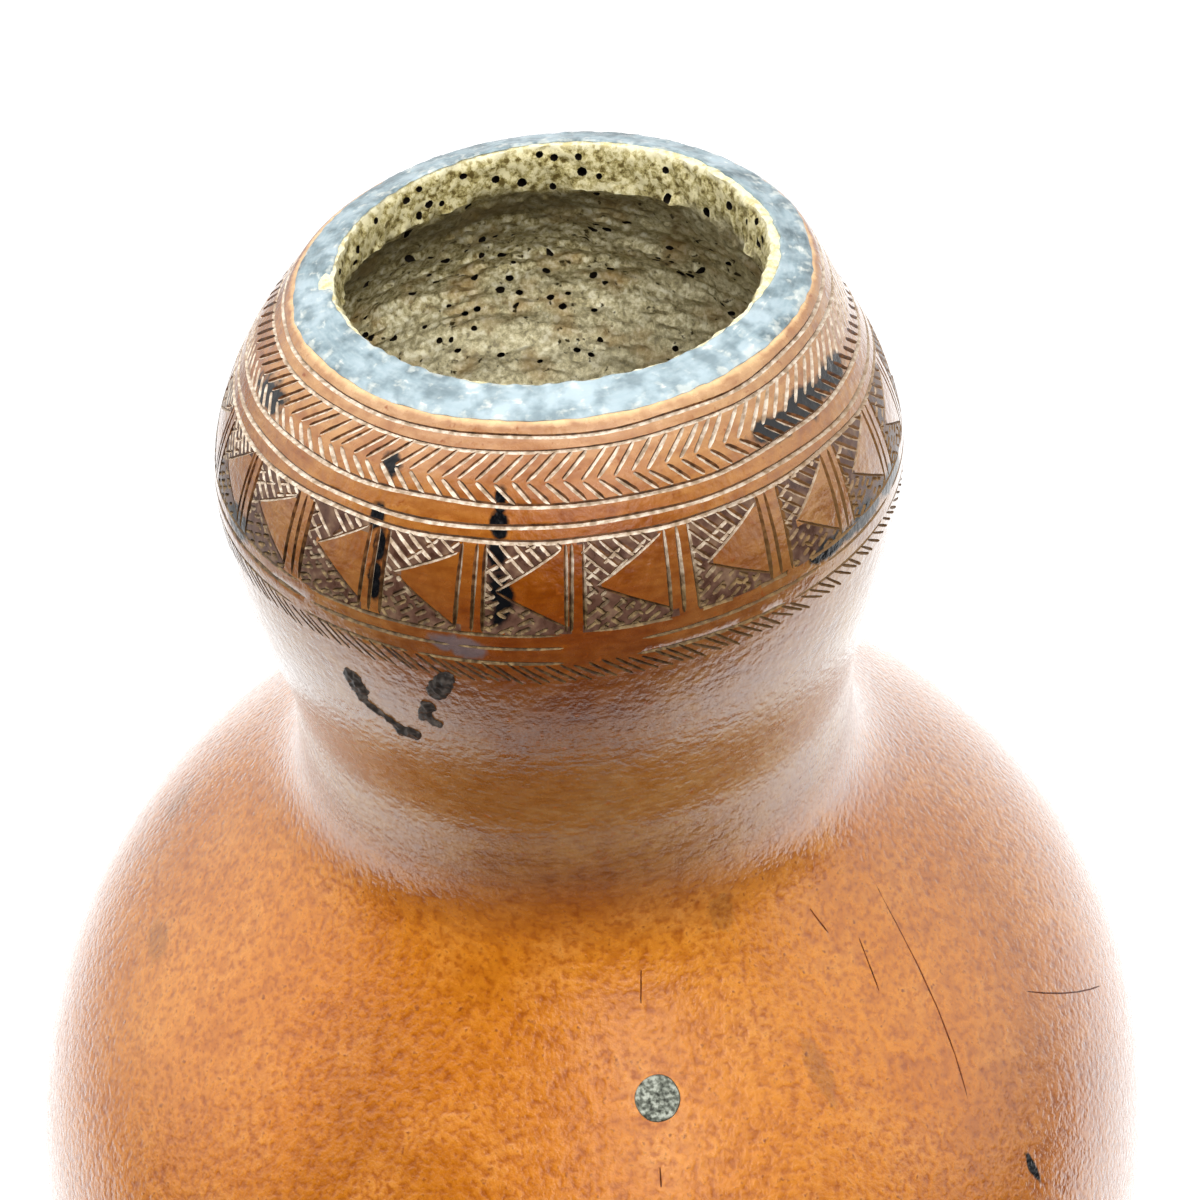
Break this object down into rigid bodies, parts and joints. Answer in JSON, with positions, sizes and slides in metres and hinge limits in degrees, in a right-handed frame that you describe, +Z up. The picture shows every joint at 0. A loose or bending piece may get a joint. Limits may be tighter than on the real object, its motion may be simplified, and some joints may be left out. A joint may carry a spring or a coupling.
{
  "type": "carved gourd vessel",
  "caption": "Dried bottle gourd with a small upper lobe and a round belly, sawn open at the top, with a blackened lip and incised bands, used as a free-standing vessel.",
  "frame": {"origin": "centre of the flattened underside, where the gourd stands", "axes": "+Z up along the gourd's axis to the mouth; -Y to the front, the side seen in the picture; +X to the picture's right"},
  "size_m": [0.241, 0.241, 0.3206],
  "materials": {
    "rind": "polished",
    "pith": "rough",
    "blacking": "worn gloss",
    "plug_mastic": "gritty matte",
    "crack_mastic": "satin"
  },
  "bodies": {
    "root": {"gourd_rind": "rind", "pith_lining": "pith", "lip_blacking": "blacking", "belly_plug": "plug_mastic", "crack_fill_long": "crack_mastic", "crack_fill_wing": "crack_mastic", "crack_fill_border": "crack_mastic"}
  },
  "joints": []
}
